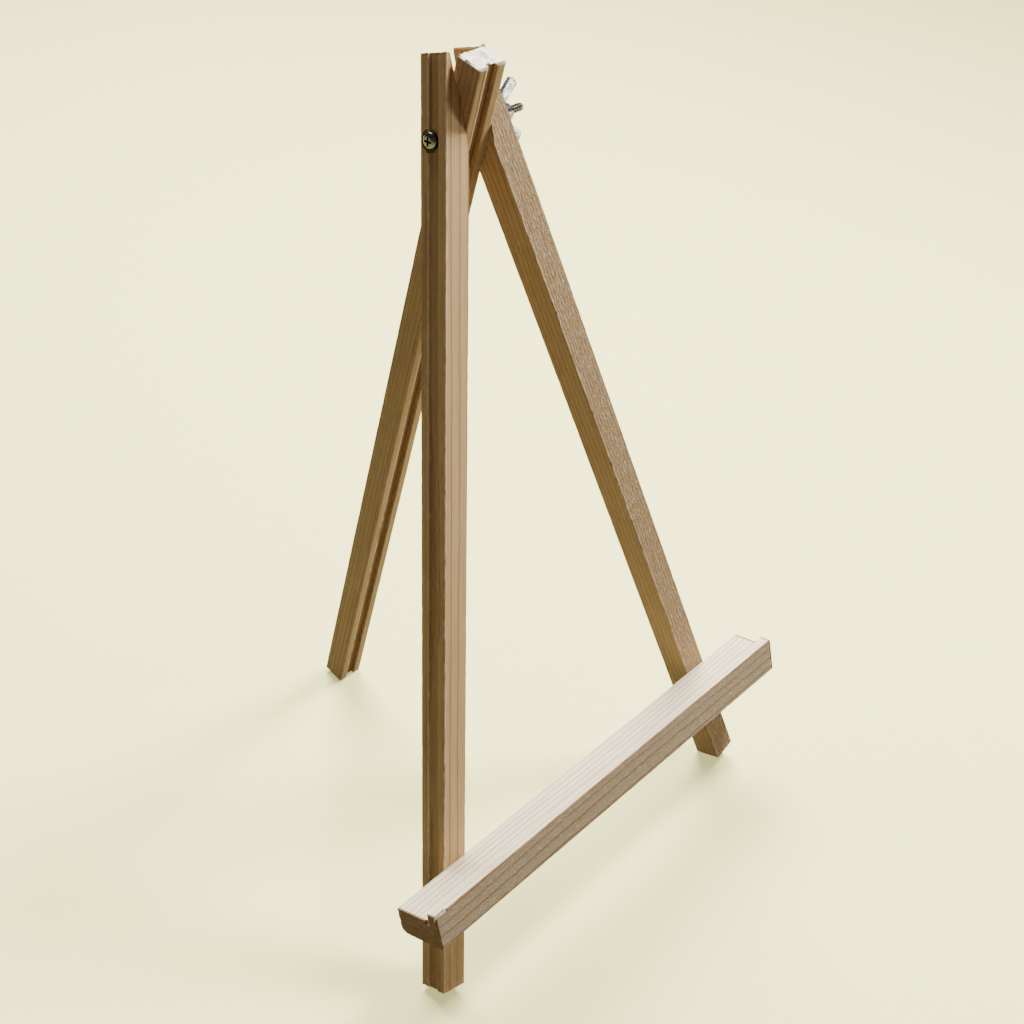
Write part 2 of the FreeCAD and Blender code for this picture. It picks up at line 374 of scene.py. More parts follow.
def sawn_ends(wood, y, z, low, high, skew):
    """1 at the two ends of a stick; skew is how far each end slants for a step in Y."""
    fade = [(0.0, 0), (0.5, 1)]
    above = wood.ramp((z - y * skew[1] - high) * 1.6 + 1, fade)
    below = wood.ramp((low - z - y * skew[0]) * 1.6 + 1, fade)
    return above.most(below)


def in_groove(wood, x, y, mid_x, half_x, mid_y, half_y):
    """1 inside a groove that runs along Z."""
    fade = [(0.80, 1), (1.0, 0)]
    beside = (x - mid_x).size() / half_x
    under = (y - mid_y).size() / half_y
    return wood.ramp(beside, fade) * wood.ramp(under, fade)


def on_rim(wood, x, y, edge_x, edge_y):
    """0.8 on an edge that runs along Z, and nothing a millimetre away from it."""
    beside = x - edge_x
    under = y - edge_y
    return wood.ramp(beside * beside + under * under, [(0.25, 0.8), (0.9, 0)])


print("masks ready")

# %% [markdown]
# ## The pine finish
# One function makes the finish of every stick, because only the colours, the heart and the
# marks differ.  Fine streaks along the grain, grit, dark pores and blurred stains break up the
# clean wood, and then each mark is mixed in by its mask.

# %% Pine finish
def pine(name, matrix, colours, heart, gap, seed, sawn=None, ends=None, rims=(), groove_shade=None):
    """Bare pine along Z, with every place in millimetres.

    sawn is (face in Y, reach, tint, how torn) and ends is (low, high, tint, skew).  A rim is
    (x, y, tint, least strength), for a painted highlight or a scorched line along an edge.  The
    last argument is a groove's middle and half size in X, then in Y, and how dark its painted shade is.
    """
    pale, warm, dark = colours
    dim = [channel * 0.72 for channel in warm[:3]] + [1]
    pore = [channel * 0.40 for channel in warm[:3]] + [1]
    stained = [0.86 * p + 0.14 * w for p, w in zip(pale, warm)]
    wood = Finish(name)
    point = wood.place(matrix)
    x, y, z = wood.split(point)
    winter, number = rings(wood, x, y, z, heart, gap, seed)
    sockets = {"W": number + seed}
    lot = wood.node("ShaderNodeTexWhiteNoise", {"noise_dimensions": "1D"}, sockets, "Value")
    line = winter * (0.5 + 0.5 * lot)
    streaks = wood.noise(wood.stretch(point, 2.6, 2.6, 0.035), 3.0, 0.6)
    threads = wood.noise(wood.stretch(point, 7.0, 7.0, 0.10), 2.0, 0.6)
    clouds = wood.noise(wood.stretch(point, 0.16, 0.16, 0.012), 2.0)
    specks = wood.noise(wood.stretch(point, 4.5, 4.5, 0.28), 1.0)
    grit = wood.noise(wood.stretch(point, 3.2, 3.2, 2.0), 2.0, 0.7)
    base = wood.mix(wood.ramp(clouds, [(0.3, 0), (0.7, 1)]), pale, stained)
    base = wood.mix(line * 0.95, base, dark)
    base = wood.mix(wood.ramp(streaks, [(0.40, 0), (0.68, 0.55)]), base, dim)
    base = wood.mix(wood.ramp(grit, [(0.46, 0), (0.62, 0.34)]), base, dim)
    base = wood.mix(wood.ramp(specks, [(0.66, 0), (0.76, 1)]) * 0.30, base, pore)
    height = line * 0.05 + threads * 0.035 + streaks * 0.05 - grit * 0.05
    rough = 0.66 - line * 0.10 + threads * 0.08
    if sawn:
        face, reach, tint, torn = sawn
        near = wood.ramp((y - face) / reach, [(0.0, 1), (0.8, 1), (1.0, 0)])
        flakes, fibres, chips = saw_cut(wood, point)
        height = height + near * (flakes * 0.30 + fibres * 0.26 + chips * 0.25) * torn
        # The sawn face takes its tint; on the ledge this grey is partly painted shade.
        base = wood.mix(near * 0.74, base, tint)
        # Between the raised flakes the torn face is darkened: painted shade in its low places.
        base = wood.mix(near * (1 - flakes) * 0.75 * torn, base, dim)
        base = wood.mix(near * chips * 0.38 * torn, base, TORN_PALE)
        base = wood.mix(near * line * 0.9, base, dark)
        rough = rough + near * 0.12
    if ends:
        low, high, tint, skew = ends
        end = sawn_ends(wood, y, z, low, high, skew)
        cut = wood.noise(wood.stretch(point, 1.2, 0.35, 0.5), 3.0, 0.7)
        height = height + end * cut * 0.25
        base = wood.mix(end * (0.72 + 0.28 * cut), base, tint)
        rough = rough + end * 0.12
    # Painted shade in the groove, deeper where the streaks run.
    if groove_shade:
        inside = in_groove(wood, x, y, *groove_shade[:4])
        base = wood.mix(inside * (groove_shade[4] + 0.3 * streaks), base, GROOVE_SHADE)
    # Rims mix in painted highlights along arrises, broken up in patches, and the ledge's scorched line.
    patches = wood.noise(wood.stretch(point, 0.5, 0.5, 0.12), 2.0, 0.7)
    broken = wood.ramp(patches, [(0.40, 0.15), (0.56, 1)])
    for edge_x, edge_y, tint, least in rims:
        base = wood.mix(on_rim(wood, x, y, edge_x, edge_y) * broken.most(least), base, tint)
    wood.feed(wood.shader.inputs["Base Color"], base)
    wood.feed(wood.shader.inputs["Roughness"], rough)
    wood.feed(wood.shader.inputs["Normal"], wood.bump(height, MM))
    wood.shader.inputs["Specular IOR Level"].default_value = 0.28
    print("made finish", name, "with", len(wood.tree.nodes), "nodes")
    return wood.material


# %% [markdown]
# ## Modelling helpers
# A piece is modelled upright at the origin, where its own axes are easy to think in, and is
# put in its place at the very end.  `pick` selects by a test on place or direction, which is
# the script's way of pointing at a face.  `carve` takes another shape out of a piece.

# %% Helpers for modelling
SAME_POINT = 0.002 * MM
ON_A_CORNER = 0.01 * MM


def select_only(piece):
    """Nothing else selected, and this piece the active one."""
    deselect()
    piece.select_set(True)
    bpy.context.view_layer.objects.active = piece


def edit(piece):
    """Only this piece selected, and open in edit mode."""
    select_only(piece)
    bpy.ops.object.mode_set(mode="EDIT")


def pick(kind, test):
    """Select the points, edges or faces of the edited mesh that pass a test."""
    bpy.ops.mesh.select_mode(type=kind)
    bpy.ops.mesh.select_all(action="DESELECT")
    shape = bmesh.from_edit_mesh(bpy.context.object.data)
    parts = {"VERT": shape.verts, "EDGE": shape.edges, "FACE": shape.faces}[kind]
    for part in parts:
        if test(part):
            part.select = True
    shape.select_flush_mode()
    bmesh.update_edit_mesh(bpy.context.object.data)


def middle(edge):
    return (edge.verts[0].co + edge.verts[1].co) / 2


def direction(edge):
    return (edge.verts[1].co - edge.verts[0].co).normalized()


def bisect_all(place, normal, **options):
    bpy.ops.mesh.select_all(action="SELECT")
    bpy.ops.mesh.bisect(plane_co=place, plane_no=normal, **options)


def rule_lines(axis, values):
    """Cut lines across the whole section, at these values of X (axis 0) or Y (axis 1)."""
    for value in values:
        place = Vector((0, 0, 0))
        place[axis] = value
        normal = Vector((0, 0, 0))
        normal[axis] = 1
        bisect_all(place, normal)


def fix_normals(piece):
    """Merge doubled points and turn every face outwards."""
    edit(piece)
    bpy.ops.mesh.select_all(action="SELECT")
    bpy.ops.mesh.remove_doubles(threshold=SAME_POINT)
    bpy.ops.mesh.normals_make_consistent(inside=False)
    bpy.ops.object.mode_set(mode="OBJECT")


def apply_modifier(piece, kind, **settings):
    """Add one modifier, set it and apply it."""
    select_only(piece)
    modifier = piece.modifiers.new(kind.lower(), kind)
    for setting, value in settings.items():
        setattr(modifier, setting, value)
    bpy.ops.object.modifier_apply(modifier=modifier.name)


def carve(piece, tool, operation="DIFFERENCE"):
    """Take the tool's shape out of the piece, or join it on, and throw the tool away."""
    apply_modifier(piece, "BOOLEAN", object=tool, operation=operation, solver="EXACT")
    bpy.data.objects.remove(tool)


def cylinder(radius, start, end, axis, centre, vertices=48):
    """A round tool between two values on an axis, through a centre."""
    place = Vector(centre)
    place[axis] = (start + end) / 2
    turn = [(0, math.pi / 2, 0), (math.pi / 2, 0, 0), (0, 0, 0)][axis]
    deselect()
    bpy.ops.mesh.primitive_cylinder_add(
        vertices=vertices, radius=radius, depth=abs(end - start), location=place, rotation=turn)
    return bpy.context.object


def block(name, low, high):
    """A block between two corners."""
    centre = (Vector(low) + Vector(high)) / 2
    deselect()
    bpy.ops.mesh.primitive_cube_add(size=1, location=centre)
    piece = bpy.context.object
    piece.name = name
    piece.scale = Vector(high) - Vector(low)
    bpy.ops.object.transform_apply(location=True, rotation=True, scale=True)
    return piece


def put(piece, matrix=Matrix.Identity(4)):
    """Move a finished shape by a matrix, and leave its object at the origin."""
    select_only(piece)
    piece.matrix_world = matrix @ piece.matrix_world
    bpy.ops.object.transform_apply(location=True, rotation=True, scale=True)


print("modelling helpers ready")

# %% [markdown]
# ## Wear
# Bare softwood is never crisp.  The arrises are dented and chipped, ends are furry and a
# sawn face is torn.  A Displace modifier pushes the chosen points along their normals by a
# clouded texture, and only ever inwards.  The texture can be stretched along the grain by an
# empty that is thrown away after the modifier is applied.  The empty's height depends on how
# long the wear's name is, which moves most of the textures apart.

# %% Wear by displacement
GUIDE_PLACE = (0.37, 0.11)
GUIDE_STEP = 0.013


def wear(piece, name, test, size, depth, stretch=1.0, share=0.9, contrast=3.0):
    """Push the points that pass a test inwards, up to a depth, where a cloud texture is high.

    size is the clouds' own, share is how much of the surface they reach, and a high contrast
    makes their edges hard.
    """
    chosen = [v.index for v in piece.data.vertices if test(v)]
    group = piece.vertex_groups.new(name=name)
    group.add(chosen, 1.0, "REPLACE")
    texture = bpy.data.textures.new(name, "CLOUDS")
    texture.noise_scale = size
    texture.noise_depth = 2
    texture.use_clamp = True
    texture.contrast = contrast
    texture.intensity = share
    deselect()
    bpy.ops.object.empty_add(location=(*GUIDE_PLACE, len(name) * GUIDE_STEP))
    guide = bpy.context.object
    guide.scale = (1, 1, stretch)
    bpy.context.view_layer.update()
    apply_modifier(
        piece, "DISPLACE", texture=texture, texture_coords="OBJECT", texture_coords_object=guide,
        strength=-depth, mid_level=0, direction="NORMAL", vertex_group=name)
    bpy.data.objects.remove(guide)
    piece.vertex_groups.clear()
    print(piece.name, name, "on", len(chosen), "points")


def finish_piece(piece, material, body, node, angle=32):
    """Smooth shading, the material, and the piece's place in the frame."""
    select_only(piece)
    bpy.ops.object.shade_smooth_by_angle(angle=math.radians(angle))
    piece.data.materials.clear()
    piece.data.materials.append(material)
    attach(piece, body)
    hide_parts(node)
    low = [round(min(v.co[i] for v in piece.data.vertices) / MM, 2) for i in range(3)]
    high = [round(max(v.co[i] for v in piece.data.vertices) / MM, 2) for i in range(3)]
    design = [[round(value / MM, 2) for value in corner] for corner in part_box(node)]
    print(piece.name, "faces", len(piece.data.polygons), "box", low, high, "design", design)


print("wear and finishing helpers ready")

# %% [markdown]
# ## A stick
# All three legs start as the same planed stick.  Its section is drawn as a flat face, the
# groove is cut out of it, the corners are rounded, and lines are ruled across it.  The section
# is then pulled up to the full length and divided, so that wear has points to move.

# %% Stick
SOFT_EDGE = 0.35 * MM
GROOVE_WIDE = 6 * MM
ACROSS_STEPS = 8
DEPTH_STEPS = 9
LENGTH_CUTS = 16


def stick(name, across, depth, along, groove):
    """A grooved stick along Z.  groove is (axis, side, depth, middle)."""
    centre = (sum(across) / 2, sum(depth) / 2, along[0])
    deselect()
    bpy.ops.mesh.primitive_plane_add(size=1, location=centre)
    piece = bpy.context.object
    piece.name = name
    piece.scale = (across[1] - across[0], depth[1] - depth[0], 1)
    bpy.ops.object.transform_apply(location=True, rotation=True, scale=True)
    axis, side, sink, mid = groove
    limits = (across, depth)[axis]
    floor_level = (limits[1] - sink) if side > 0 else (limits[0] + sink)
    lips = (mid - GROOVE_WIDE / 2, mid + GROOVE_WIDE / 2)
    edit(piece)
    rule_lines(1 - axis, lips)
    rule_lines(axis, [floor_level])
    pick("FACE", lambda f: side * (f.calc_center_median()[axis] - floor_level) > 0
         and lips[0] < f.calc_center_median()[1 - axis] < lips[1])
    bpy.ops.mesh.delete(type="FACE")
    corners = [(x, y) for x in across for y in depth]
    edge_level = limits[1] if side > 0 else limits[0]
    for lip in lips:
        corners.append((edge_level, lip) if axis == 0 else (lip, edge_level))
    pick("VERT", lambda v: min(math.hypot(v.co.x - x, v.co.y - y) for x, y in corners) < ON_A_CORNER)
    bpy.ops.mesh.bevel(offset=SOFT_EDGE, segments=3, affect="VERTICES")
    for line_axis, (low, high), steps in ((0, across, ACROSS_STEPS), (1, depth, DEPTH_STEPS)):
        rule_lines(line_axis, [low + (high - low) * step / steps for step in range(1, steps)])
    bpy.ops.mesh.select_all(action="SELECT")
    bpy.ops.mesh.extrude_region_move(TRANSFORM_OT_translate={"value": (0, 0, along[1] - along[0])})
    for _ in range(2):
        pick("EDGE", lambda e: abs(direction(e).z) > 0.9)
        bpy.ops.mesh.subdivide(number_cuts=LENGTH_CUTS)
    bpy.ops.object.mode_set(mode="OBJECT")
    fix_normals(piece)
    print(name, "stick with", len(piece.data.vertices), "points")
    return piece


# %% [markdown]
# ## The front legs
# A front leg is sawn flat inside, over the stretch where it bears on the rear leg, and the
# saw cut runs out of the wood where the leg slopes away.  The left leg's flat leans away at
# its top, which leaves a thin gap.  The foot is sawn with its front edge higher, so the leg
# stands on its rear edge.  The bolt's hole and the wider recess round it are square to the
# flat, not to the leg, and a countersunk hole behind takes one ledge screw.

# %% Front legs
BOLT_BEHIND_MIDDLE = 2.2 * MM
BELOW_BOLT = 413.5 * MM
LEFT_ABOVE = 34.5 * MM
RIGHT_ABOVE = 33.2 * MM
HEAD_RECESS = 5.2 * MM
WASHER_RECESS = 6.4 * MM
LEG_GROOVE = 0.7 * MM
FRAME_FRONT = -STICK_WIDE / 2 - BOLT_BEHIND_MIDDLE
FRAME_BACK = STICK_WIDE / 2 - BOLT_BEHIND_MIDDLE
FOOT_BEVEL = math.radians(8)
GAP_TAPER = math.radians(2.6)
GAP_START = 8 * MM
screws_low, screws_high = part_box("ledge_screws")
SCREW_ACROSS = (screws_high.x - screws_low.x) / 2 - 3 * MM
SCREW_LEVEL = -337.85 * MM
SCREW_HOLE = 1.55 * MM
SCREW_SINK = 1.9 * MM
SINK_RADIUS = 3.15 * MM
HOLE = 2.08 * MM
FAR = 60 * MM
front_frame = Matrix.Translation(PIVOT) @ Matrix.Rotation(-LEAN, 4, "X")


def leg_matrix(side):
    """From a front leg's own axes to the upright front frame."""
    return Matrix.Translation((side * LEG_AXIS_AT_BOLT, 0, 0)) @ Matrix.Rotation(-side * SPLAY, 4, "Y")


def front_leg(name, side, above, recess, seat):
    """A front leg in the upright front frame, with its recess sunk down to a seat."""
    across = (-STICK_NARROW / 2, STICK_NARROW / 2)
    depth = (FRAME_FRONT, FRAME_BACK)
    groove = (0, side, LEG_GROOVE, -BOLT_BEHIND_MIDDLE)
    piece = stick(name, across, depth, (-BELOW_BOLT, above), groove)
    edit(piece)
    foot = Vector((0, -math.sin(FOOT_BEVEL), -math.cos(FOOT_BEVEL)))
    bisect_all((0, FRAME_BACK, -BELOW_BOLT), foot, clear_outer=True, use_fill=True)
    bpy.ops.object.mode_set(mode="OBJECT")
    put(piece, leg_matrix(side))
    waste = block("waste", (-FAR, -FAR, -FAR), (FLAT, FAR, FAR))
    if side == LEFT:
        put(waste, Matrix.Rotation(math.pi, 4, "Z"))
    carve(piece, waste)
    if side == LEFT:
        wedge = block("wedge", (0, -FAR, 0), (FAR, FAR, FAR))
        put(wedge, Matrix.Translation((-FLAT, 0, GAP_START)) @ Matrix.Rotation(-GAP_TAPER, 4, "Y"))
        carve(piece, wedge)
    drilled = (side * SCREW_ACROSS, 0, SCREW_LEVEL)
    carve(piece, cylinder(SCREW_HOLE, -FAR, FAR, 1, drilled))
    deselect()
    sink_place = (drilled[0], FRAME_BACK - SCREW_SINK / 2 + 0.1 * MM, drilled[2])
    bpy.ops.mesh.primitive_cone_add(
        vertices=40, radius1=SCREW_HOLE, radius2=SINK_RADIUS, depth=SCREW_SINK,
        location=sink_place, rotation=(-math.pi / 2, 0, 0))
    carve(piece, bpy.context.object)
    outer = (0, side * FAR)
    carve(piece, cylinder(HOLE, min(outer), max(outer), 0, (0, 0, 0)))
    sunk = (side * seat, side * FAR)
    carve(piece, cylinder(recess, min(sunk), max(sunk), 0, (0, 0, 0)))
    return piece


HEAD_HIGH = 3.1 * MM
HEAD_SEAT = -(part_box("pivot_bolt")[0].x + HEAD_HIGH)
WASHER_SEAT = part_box("pivot_washer")[0].x - 0.05 * MM
left_leg = front_leg("left_leg", LEFT, LEFT_ABOVE, HEAD_RECESS, HEAD_SEAT)
right_leg = front_leg("right_leg", RIGHT, RIGHT_ABOVE, WASHER_RECESS, WASHER_SEAT)

# %% [markdown]
# ## Wear on the front legs
# The arrises get small dents, the front face of the right leg was left rough from the saw,
# and the sawn tops are furry.  Points near an arris are found by how far their normals turn
# away from all three axes of the leg.

# %% Worn legs
TOP_LAYER = 0.4 * MM
RIGHT_TEARS = 0.55 * MM
DENTS = {"size": 2.6 * MM, "depth": 0.6 * MM, "stretch": 3.0, "share": 0.25}
WAVES = {"size": 9 * MM, "depth": 0.08 * MM, "stretch": 6.0, "share": 1.0, "contrast": 1.0}


def is_arris(vertex):
    """Whether a point's normal is far from every axis."""
    return max(abs(part) for part in vertex.normal) < 0.93


def is_long_side(vertex):
    return abs(vertex.normal.z) < 0.5


def is_corner(vertex):
    """An arris of a front leg, but not a lip of its groove, which stays straight."""
    return is_arris(vertex) and abs(vertex.co.y + BOLT_BEHIND_MIDDLE) > GROOVE_WIDE * 0.8


def wear_leg(piece, side, top, sawn_depth):
    """Wear a front leg in its own axes; sawn_depth is 0 where the front face was planed."""
    put(piece, leg_matrix(side).inverted())
    wear(piece, "dents", is_corner, **DENTS)
    wear(piece, "waves", is_long_side, **WAVES)
    if sawn_depth:
        wear(piece, "saw_tears", lambda v: v.normal.y < -0.8, 1.7 * MM, sawn_depth, 2.4, 0.8, 2.0)
    wear(piece, "fur", lambda v: v.co.z > top - TOP_LAYER, 1.2 * MM, 0.5 * MM)
    put(piece, leg_matrix(side))


wear_leg(left_leg, LEFT, LEFT_ABOVE, 0)
wear_leg(right_leg, RIGHT, RIGHT_ABOVE, RIGHT_TEARS)

left_place = front_frame @ leg_matrix(LEFT)
right_place = front_frame @ leg_matrix(RIGHT)
LEG_COLOURS = (PALE_LEG, WARM_LEG, LINE_LEG)
FRONT_EDGE = FRAME_FRONT / MM
LEFT_EDGE = -STICK_NARROW / 2 / MM
REAR_LIP = 0.8
FOOT_LEVEL = -BELOW_BOLT / MM + 0.5
SQUARE = (0, 0)
PATCHY = 0.15
EVEN = 0.75
left_wood = pine(
    "left_leg_pine", left_place, LEG_COLOURS, (-74, 9), 5.0, 0.35,
    ends=(FOOT_LEVEL, LEFT_ABOVE / MM - 0.5, WARM_LEG, SQUARE), groove_shade=(-6.3, 0.55, -2.2, 2.9, 0.25),
    rims=[(LEFT_EDGE, REAR_LIP, EDGE_HIGHLIGHT, EVEN), (LEFT_EDGE, FRONT_EDGE, EDGE_HIGHLIGHT, PATCHY)])
right_wood = pine(
    "right_leg_pine", right_place, LEG_COLOURS, (46, -38), 1.7, 3.7, sawn=(FRONT_EDGE, 0.9, SAWN_PALE, 1.0),
    ends=(FOOT_LEVEL, RIGHT_ABOVE / MM - 0.4, TORN_PALE, SQUARE), groove_shade=(6.3, 0.55, -2.2, 2.9, 0.25),
    rims=[(LEFT_EDGE, FRONT_EDGE, EDGE_HIGHLIGHT, PATCHY)])
for leg, wood, node in (
        (left_leg, left_wood, "left_front_leg"), (right_leg, right_wood, "right_front_leg")):
    put(leg, front_frame)
    finish_piece(leg, wood, "front_frame", node)

# %% [markdown]
# ## The rear leg
# The rear leg swings between the two front legs.  Its groove faces forward, its hole sits a
# little behind the middle, and its top was broken off as much as sawn: the end grain is
# ragged, and its pale colour is partly torn fibres and partly painted light.

# %% Rear leg
REAR_BEHIND = 1.9 * MM
REAR_ALONG = (-393.9 * MM, 36.1 * MM)
REAR_GROOVE = 2 * MM
rear_half = FLAT - 0.05 * MM
rear_depth = (-STICK_NARROW / 2 - REAR_BEHIND, STICK_NARROW / 2 - REAR_BEHIND)
rear_place = Matrix.Translation(PIVOT) @ Matrix.Rotation(REAR_SLOPE, 4, "X")
back_leg = stick("back_leg", (-rear_half, rear_half), rear_depth, REAR_ALONG, (1, -1, REAR_GROOVE, 0))
carve(back_leg, cylinder(HOLE, -FAR, FAR, 0, (0, 0, 0)))
wear(back_leg, "dents", is_arris, **DENTS)
wear(back_leg, "waves", is_long_side, **WAVES)
wear(back_leg, "torn_top", lambda v: v.co.z > REAR_ALONG[1] - TOP_LAYER, 2.6 * MM, 2.2 * MM, 1.0, 0.95, 2.2)
put(back_leg, rear_place)
rear_front = rear_depth[0] / MM
# The rear leg's pale top is partly torn fibres and partly a painted highlight.
rear_wood = pine(
    "rear_leg_pine", rear_place, LEG_COLOURS, (-30, -62), 2.7, 1.9,
    ends=(REAR_ALONG[0] / MM + 0.3, REAR_ALONG[1] / MM - 1.5, TORN_PALE, SQUARE),
    groove_shade=(0, 3.1, -7.55, 0.95, 0.80),
    rims=[(-3.2, rear_front, EDGE_HIGHLIGHT, PATCHY), (rear_half / MM, rear_front, EDGE_HIGHLIGHT, PATCHY)])
finish_piece(back_leg, rear_wood, "rear_support", "rear_leg")

# %% [markdown]
# ## The ledge
# The ledge is one strip with a shelf and a lip.  Its section is drawn standing up, pulled
# out to the full length and sawn at both ends a few degrees off square.  At the left end the
# wood has split: a sliver hangs off the lip, and a bite is missing where lip meets shelf.  At
# the right end the lip's front corner is knocked off.

# %% Ledge
LEDGE_HIGH = 19 * MM
LEDGE_DEEP = 24.5 * MM
LIP_HIGH = 4.7 * MM
LIP_THICK = 6 * MM
LEDGE_ROUND = 4 * MM
LEDGE_BOTTOM = -345 * MM
DEEP_STEPS = 14
HIGH_STEPS = 11
LEDGE_CUTS = 12
PILOT_FRONT = -14.3 * MM
ledge_low, ledge_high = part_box("picture_ledge")
LEDGE_HALF = (ledge_high.x - ledge_low.x) / 2
RAGGED = -LEDGE_HALF + 6 * MM
IN_THE_LIP = -20 * MM
ROUNDING_REACH = 6 * MM
END_ANGLES = {LEFT: math.radians(6.5), RIGHT: math.radians(3.5)}
END_SKEW = tuple(math.tan(END_ANGLES[side]) for side in (LEFT, RIGHT))
ledge_place = front_frame @ Matrix.Translation((0, FRAME_FRONT, LEDGE_BOTTOM))


def ledge_strip():
    """The sawn strip in its own axes: X along it, Y to the back, Z up, back edge on zero."""
    deselect()
    bpy.ops.mesh.primitive_plane_add(
        size=1, location=(-LEDGE_HALF, -LEDGE_DEEP / 2, LEDGE_HIGH / 2), rotation=(0, math.pi / 2, 0))
    piece = bpy.context.object
    piece.name = "ledge_strip"
    piece.scale = (LEDGE_HIGH, LEDGE_DEEP, 1)
    bpy.ops.object.transform_apply(location=True, rotation=True, scale=True)
    shelf = LEDGE_HIGH - LIP_HIGH
    lip_back = -LEDGE_DEEP + LIP_THICK
    edit(piece)
    bisect_all((0, lip_back, 0), (0, 1, 0))
    bisect_all((0, 0, shelf), (0, 0, 1))
    pick("FACE", lambda f: f.calc_center_median().y > lip_back and f.calc_center_median().z > shelf)
    bpy.ops.mesh.delete(type="FACE")
    pick("VERT", lambda v: v.co.y > -ON_A_CORNER and v.co.z < ON_A_CORNER)
    bpy.ops.mesh.bevel(offset=LEDGE_ROUND, segments=8, affect="VERTICES")
    tops = [(0, shelf), (lip_back, LEDGE_HIGH), (-LEDGE_DEEP, LEDGE_HIGH), (-LEDGE_DEEP, 0)]
    pick("VERT", lambda v: min(math.hypot(v.co.y - y, v.co.z - z) for y, z in tops) < ON_A_CORNER)
    bpy.ops.mesh.bevel(offset=SOFT_EDGE, segments=3, affect="VERTICES")
    rule_lines(1, [-LEDGE_DEEP * step / DEEP_STEPS for step in range(1, DEEP_STEPS)])
    for step in range(1, HIGH_STEPS):
        bisect_all((0, 0, LEDGE_HIGH * step / HIGH_STEPS), (0, 0, 1))
    bpy.ops.mesh.select_all(action="SELECT")
    bpy.ops.mesh.extrude_region_move(TRANSFORM_OT_translate={"value": (2 * LEDGE_HALF, 0, 0)})
    for _ in range(2):
        pick("EDGE", lambda e: abs(direction(e).x) > 0.9)
        bpy.ops.mesh.subdivide(number_cuts=LEDGE_CUTS)
    for side, angle in END_ANGLES.items():
        cut = Vector((side * math.cos(angle), -math.sin(angle), 0))
        bisect_all((side * LEDGE_HALF, 0, 0), cut, clear_outer=True, use_fill=True)
    bpy.ops.object.mode_set(mode="OBJECT")
    fix_normals(piece)
    return piece


def tilted_block(name, size, place, turn):
    """A block, in millimetres, turned by three angles in degrees about its own middle."""
    half = Vector(size) * MM / 2
    piece = block(name, -half, half)
    turned = Euler([math.radians(angle) for angle in turn]).to_matrix().to_4x4()
    put(piece, Matrix.Translation(Vector(place) * MM) @ turned)
    return piece


def is_free_arris(vertex):
    """An arris that isn't on the broad rounding under the back."""
    on_rounding = vertex.co.y > -ROUNDING_REACH and vertex.co.z < ROUNDING_REACH
    return is_arris(vertex) and not on_rounding


def is_ragged(vertex):
    """An arris of the split lip at the left end."""
    return is_arris(vertex) and vertex.co.x < RAGGED and vertex.co.y < IN_THE_LIP


ledge = ledge_strip()
BITE_RADIUS = 1.3 * MM
BITE_FLOOR = 12.2 * MM
BITE_TOP = 25 * MM
BITE_PLACE = (-133.9 * MM, -18.1 * MM, 0)
carve(ledge, cylinder(BITE_RADIUS, BITE_FLOOR, BITE_TOP, 2, BITE_PLACE, 24))
carve(ledge, tilted_block("split_top", (14, 2, 2), (-132.6, -24.7, 19.35), (0, 3, 1)))
carve(ledge, tilted_block("split_gap", (13, 0.8, 3.6), (-133.5, -23.4, 18.4), (8, 8, 3)))
carve(ledge, tilted_block("far_knock", (34, 4, 3), (134.5, -25.6, 20.3), (25, 3.2, 3.2)))
for side in (LEFT, RIGHT):
    pilot = (side * SCREW_ACROSS, 0, SCREW_LEVEL - LEDGE_BOTTOM)
    carve(ledge, cylinder(SCREW_HOLE, PILOT_FRONT, FAR, 1, pilot))
wear(ledge, "edge_dents", is_free_arris, 2.4 * MM, 0.5 * MM, 1.0, 0.3)
wear(ledge, "ragged_end", is_ragged, 1.6 * MM, 0.9 * MM, 1.0, 0.8)
wear(ledge, "shelf_waves", lambda v: v.normal.z > 0.9, 8 * MM, 0.08 * MM, 1.0, 1.0, 1.0)
wear(ledge, "front_tears", lambda v: v.normal.y < -0.9, 2 * MM, 0.16 * MM, 1.0, 0.9, 2.0)
put(ledge, ledge_place)
grain_turn = Matrix.Rotation(math.pi / 2, 4, "Y")
LEDGE_COLOURS = (PALE_LEDGE, WARM_LEDGE, LINE_LEDGE)
ledge_front = -LEDGE_DEEP / MM
end_level = LEDGE_HALF / MM - 0.5
# The ledge's darker front and ends are partly painted shade.
ledge_wood = pine(
    "ledge_pine", ledge_place @ grain_turn, LEDGE_COLOURS, (24, 49), 2.45, 5.2,
    sawn=(ledge_front, 0.8, SAWN_GREY_AND_SHADE, 0.6), ends=(-end_level, end_level, END_GRAIN_AND_SHADE, END_SKEW),
    rims=[(-LEDGE_HIGH / MM, ledge_front, SCORCHED, PATCHY)])
finish_piece(ledge, ledge_wood, "front_frame", "picture_ledge")

# %% [markdown]
# ## Steel
# The bolt, washer and wing nut are nickel plated: smooth, a little wavy, with fine scratches
# and dull patches where the plating is thin.  The ledge screws are plain bright steel, which
# is rougher.  One function makes both, because only the numbers differ.

# %% Steel finish
PLATED_PALE = (0.24, 0.24, 0.26, 1)
PLATED_DULL = (0.085, 0.085, 0.095, 1)
BRIGHT_PALE = (0.66, 0.64, 0.60, 1)
BRIGHT_DULL = (0.40, 0.38, 0.35, 1)
PIT = (0.10, 0.09, 0.08, 1)
HEAD_DARK = (0.035, 0.034, 0.030, 1)


